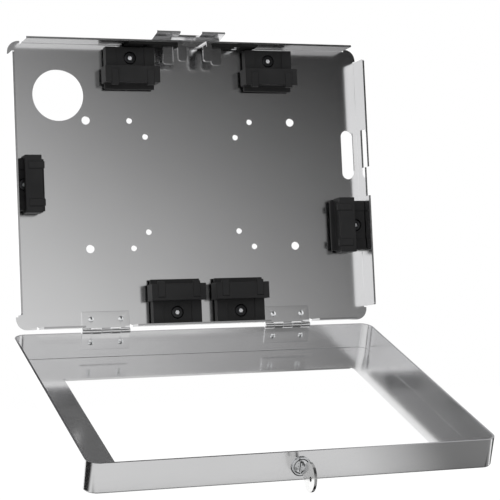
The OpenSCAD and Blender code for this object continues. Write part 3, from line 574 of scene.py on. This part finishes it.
# the pieces that only need a finish and softened edges: finish, edge width
simplePieces = {
    "lock_hood": ("plateSteel", 0),
    "hood_rivets": ("brightSteel", 0.0001),
    "left_hinge_plate_leaf": ("hingeSteel", 0.00015),
    "right_hinge_plate_leaf": ("hingeSteel", 0.00015),
    "left_hinge_cover_leaf": ("hingeSteel", 0.00015),
    "right_hinge_cover_leaf": ("hingeSteel", 0.00015),
    "left_hinge_pin": ("brightSteel", 0.0002),
    "right_hinge_pin": ("brightSteel", 0.0002),
    "plate_rivets": ("brightSteel", 0.0001),
    "cover_rivets": ("brightSteel", 0.0001),
    "lock_strike": ("strikeSteel", 0.00045),
    "strike_rivets": ("brightSteel", 0.0002),
    "buffer_strip": ("bufferRubber", 0.0001),
    "lock_body": ("lockChrome", 0.0006),
    "lock_nut": ("lockChrome", 0.0003),
    "lock_plug": ("plugSteel", 0.0003),
    "lock_cam": ("brightSteel", 0.0003),
    "cam_screw": ("screwSteel", 0.0002),
}

# the front edges of the plate's flanges, which are duller than its faces
plateSetup = {"flangeFrom": -0.018, "facing": 0.95}


def dressPlate(setup):
    piece = softPiece("back_plate", 0, "plateSteel", "flangeEdge")
    for face in piece.data.polygons:
        if face.normal[1] < -setup["facing"] and face.center[1] < setup["flangeFrom"]:
            face.material_index = 1
    dress(piece, "back_plate")


# the folds between the cover's front sheet and its walls lie outside foldFrom, at the
# front sheet's two faces, and the walls' cut rims lie behind rimFrom
coverSetup = {
    "front": -0.0251,
    "frontRadius": 0.0011,
    "inside": -0.0236,
    "insideRadius": 0.00035,
    "foldFrom": (0.125, 0.09),
    "tolerance": 0.00005,
    "segments": 4,
    "rimFrom": -0.006,
    "facing": 0.95,
}


def foldEdges(bm, depth, setup):
    found = []
    for edge in bm.edges:
        middle = (edge.verts[0].co + edge.verts[1].co) / 2
        atDepth = all(abs(vert.co.y - depth) < setup["tolerance"] for vert in edge.verts)
        outside = abs(middle.x) > setup["foldFrom"][0] or abs(middle.z) > setup["foldFrom"][1]
        if atDepth and outside and isCorner(edge):
            found.append(edge)
    return found


def dressCover(setup):
    bm = closedMesh("cover_frame")
    insideFold = foldEdges(bm, setup["inside"], setup)
    frontFold = foldEdges(bm, setup["front"], setup)
    roundEdges(bm, insideFold, setup["insideRadius"], setup["segments"])
    roundEdges(bm, frontFold, setup["frontRadius"], setup["segments"])
    for face in bm.faces:
        atRim = face.calc_center_median().y > setup["rimFrom"]
        if face.normal.y > setup["facing"] and atRim:
            face.material_index = 1
    shadeEdges(bm, edgeSetup["creaseAngle"])
    bmesh.ops.transform(bm, matrix=closedFrame.inverted(), verts=bm.verts)
    dress(finishObject("cover_frame", bm, "coverSteel", "cutSteel"), "cover_frame")


# the four dots across the key's neck are holes, whose walls and sunk rims are painted near-black
# as painted shade: for each, how far it is from the neck's middle, and how wide its rim is sunk
keySetup = {
    "edge": 0.00025,
    "dotHeight": 0.118,
    "middle": -0.0144,
    "dotRadius": 0.0004,
    "dots": ((-0.00285, 0.0001), (-0.00095, 0.00035), (0.00095, 0.00035), (0.00285, 0.0001)),
    "rimTolerance": 0.00005,
    "sideTolerance": 0.00002,
    "flatFacing": 0.6,
}


def awayFromDot(spot, dot, setup):
    return math.hypot(spot.y - setup["middle"] - dot, spot.z - setup["dotHeight"])


def sinkRim(bm, side, dot, sink, setup):
    rim = []
    for edge in bm.edges:
        middle = (edge.verts[0].co + edge.verts[1].co) / 2
        off = abs(awayFromDot(middle, dot, setup) - setup["dotRadius"])
        atSide = all(abs(abs(vert.co.x) - side) < setup["sideTolerance"] for vert in edge.verts)
        if atSide and off < setup["rimTolerance"] and isCorner(edge):
            rim.append(edge)
    # the sunk rims take the near-black painted shade
    for face in roundEdges(bm, rim, sink, 1):
        face.material_index = 2


def dressKey(setup):
    bm = closedMesh("key")
    side = max(vert.co.x for vert in bm.verts)
    for dot, sink in setup["dots"]:
        sinkRim(bm, side, dot, sink, setup)
    holeReach = setup["dotRadius"] + setup["sideTolerance"]
    # faces inside the holes take the near-black painted shade
    for face in bm.faces:
        spot = face.calc_center_median()
        inHole = any(awayFromDot(spot, dot, setup) < holeReach for dot, sink in setup["dots"])
        if inHole and abs(face.normal.x) < setup["flatFacing"]:
            face.material_index = 2
    bmesh.ops.transform(bm, matrix=closedFrame.inverted(), verts=bm.verts)
    softenEdges(bm, setup["edge"])
    piece = finishObject("key", bm, "keyNickel", "keyRimPaintedReflection", "keyDotPaintedShade")
    # the key's edge faces get the darker finish, a painted dark reflection of the surroundings
    for face in piece.data.polygons:
        if abs(face.normal[0]) < setup["flatFacing"] and not face.material_index:
            face.material_index = 1
    dress(piece, "key")


# the socket, whose faces get the painted highlight, lies within socketRadius, between two depths
# behind the head's front
screwSetup = {"edge": 0.0002, "socketRadius": 0.0018, "socketFrom": 0.0003, "socketEnd": 0.0026}


def dressScrew(nodeName, setup):
    piece = softPiece(nodeName, setup["edge"], "blackScrew", "socketPaintedGlint")
    spots = [vert.co for vert in piece.data.vertices]
    centre = [
        (min(spot[i] for spot in spots) + max(spot[i] for spot in spots)) / 2 for i in (0, 2)
    ]
    headFront = min(spot[1] for spot in spots)
    # faces in the socket take the near-white painted highlight
    for face in piece.data.polygons:
        across = math.hypot(face.center[0] - centre[0], face.center[2] - centre[1])
        into = face.center[1] - headFront
        if across < setup["socketRadius"] and setup["socketFrom"] < into < setup["socketEnd"]:
            face.material_index = 1
    dress(piece, nodeName)


holderSetup = {
    "places": ("top_left", "top_right", "bottom_left", "bottom_right", "left", "right"),
    "baseEdge": 0.0003,
    "jawEdge": 0.0005,
    "jawSegments": 3,
    "nutEdge": 0.0003,
}


def dressHolder(place, setup):
    base, jaw, nut = "base_" + place, "jaw_" + place, "nut_" + place
    dress(softPiece(base, setup["baseEdge"], "holderPlastic"), base)
    dress(softPiece(jaw, setup["jawEdge"], "holderPlastic", segments=setup["jawSegments"]), jaw)
    dressScrew("screw_" + place, screwSetup)
    dress(softPiece(nut, setup["nutEdge"], "screwSteel"), nut)


for name, (finish, width) in simplePieces.items():
    dress(softPiece(name, width, finish), name)
dressPlate(plateSetup)
dressCover(coverSetup)
dressKey(keySetup)
for place in holderSetup["places"]:
    dressHolder(place, holderSetup)
print("stage 4: pieces")
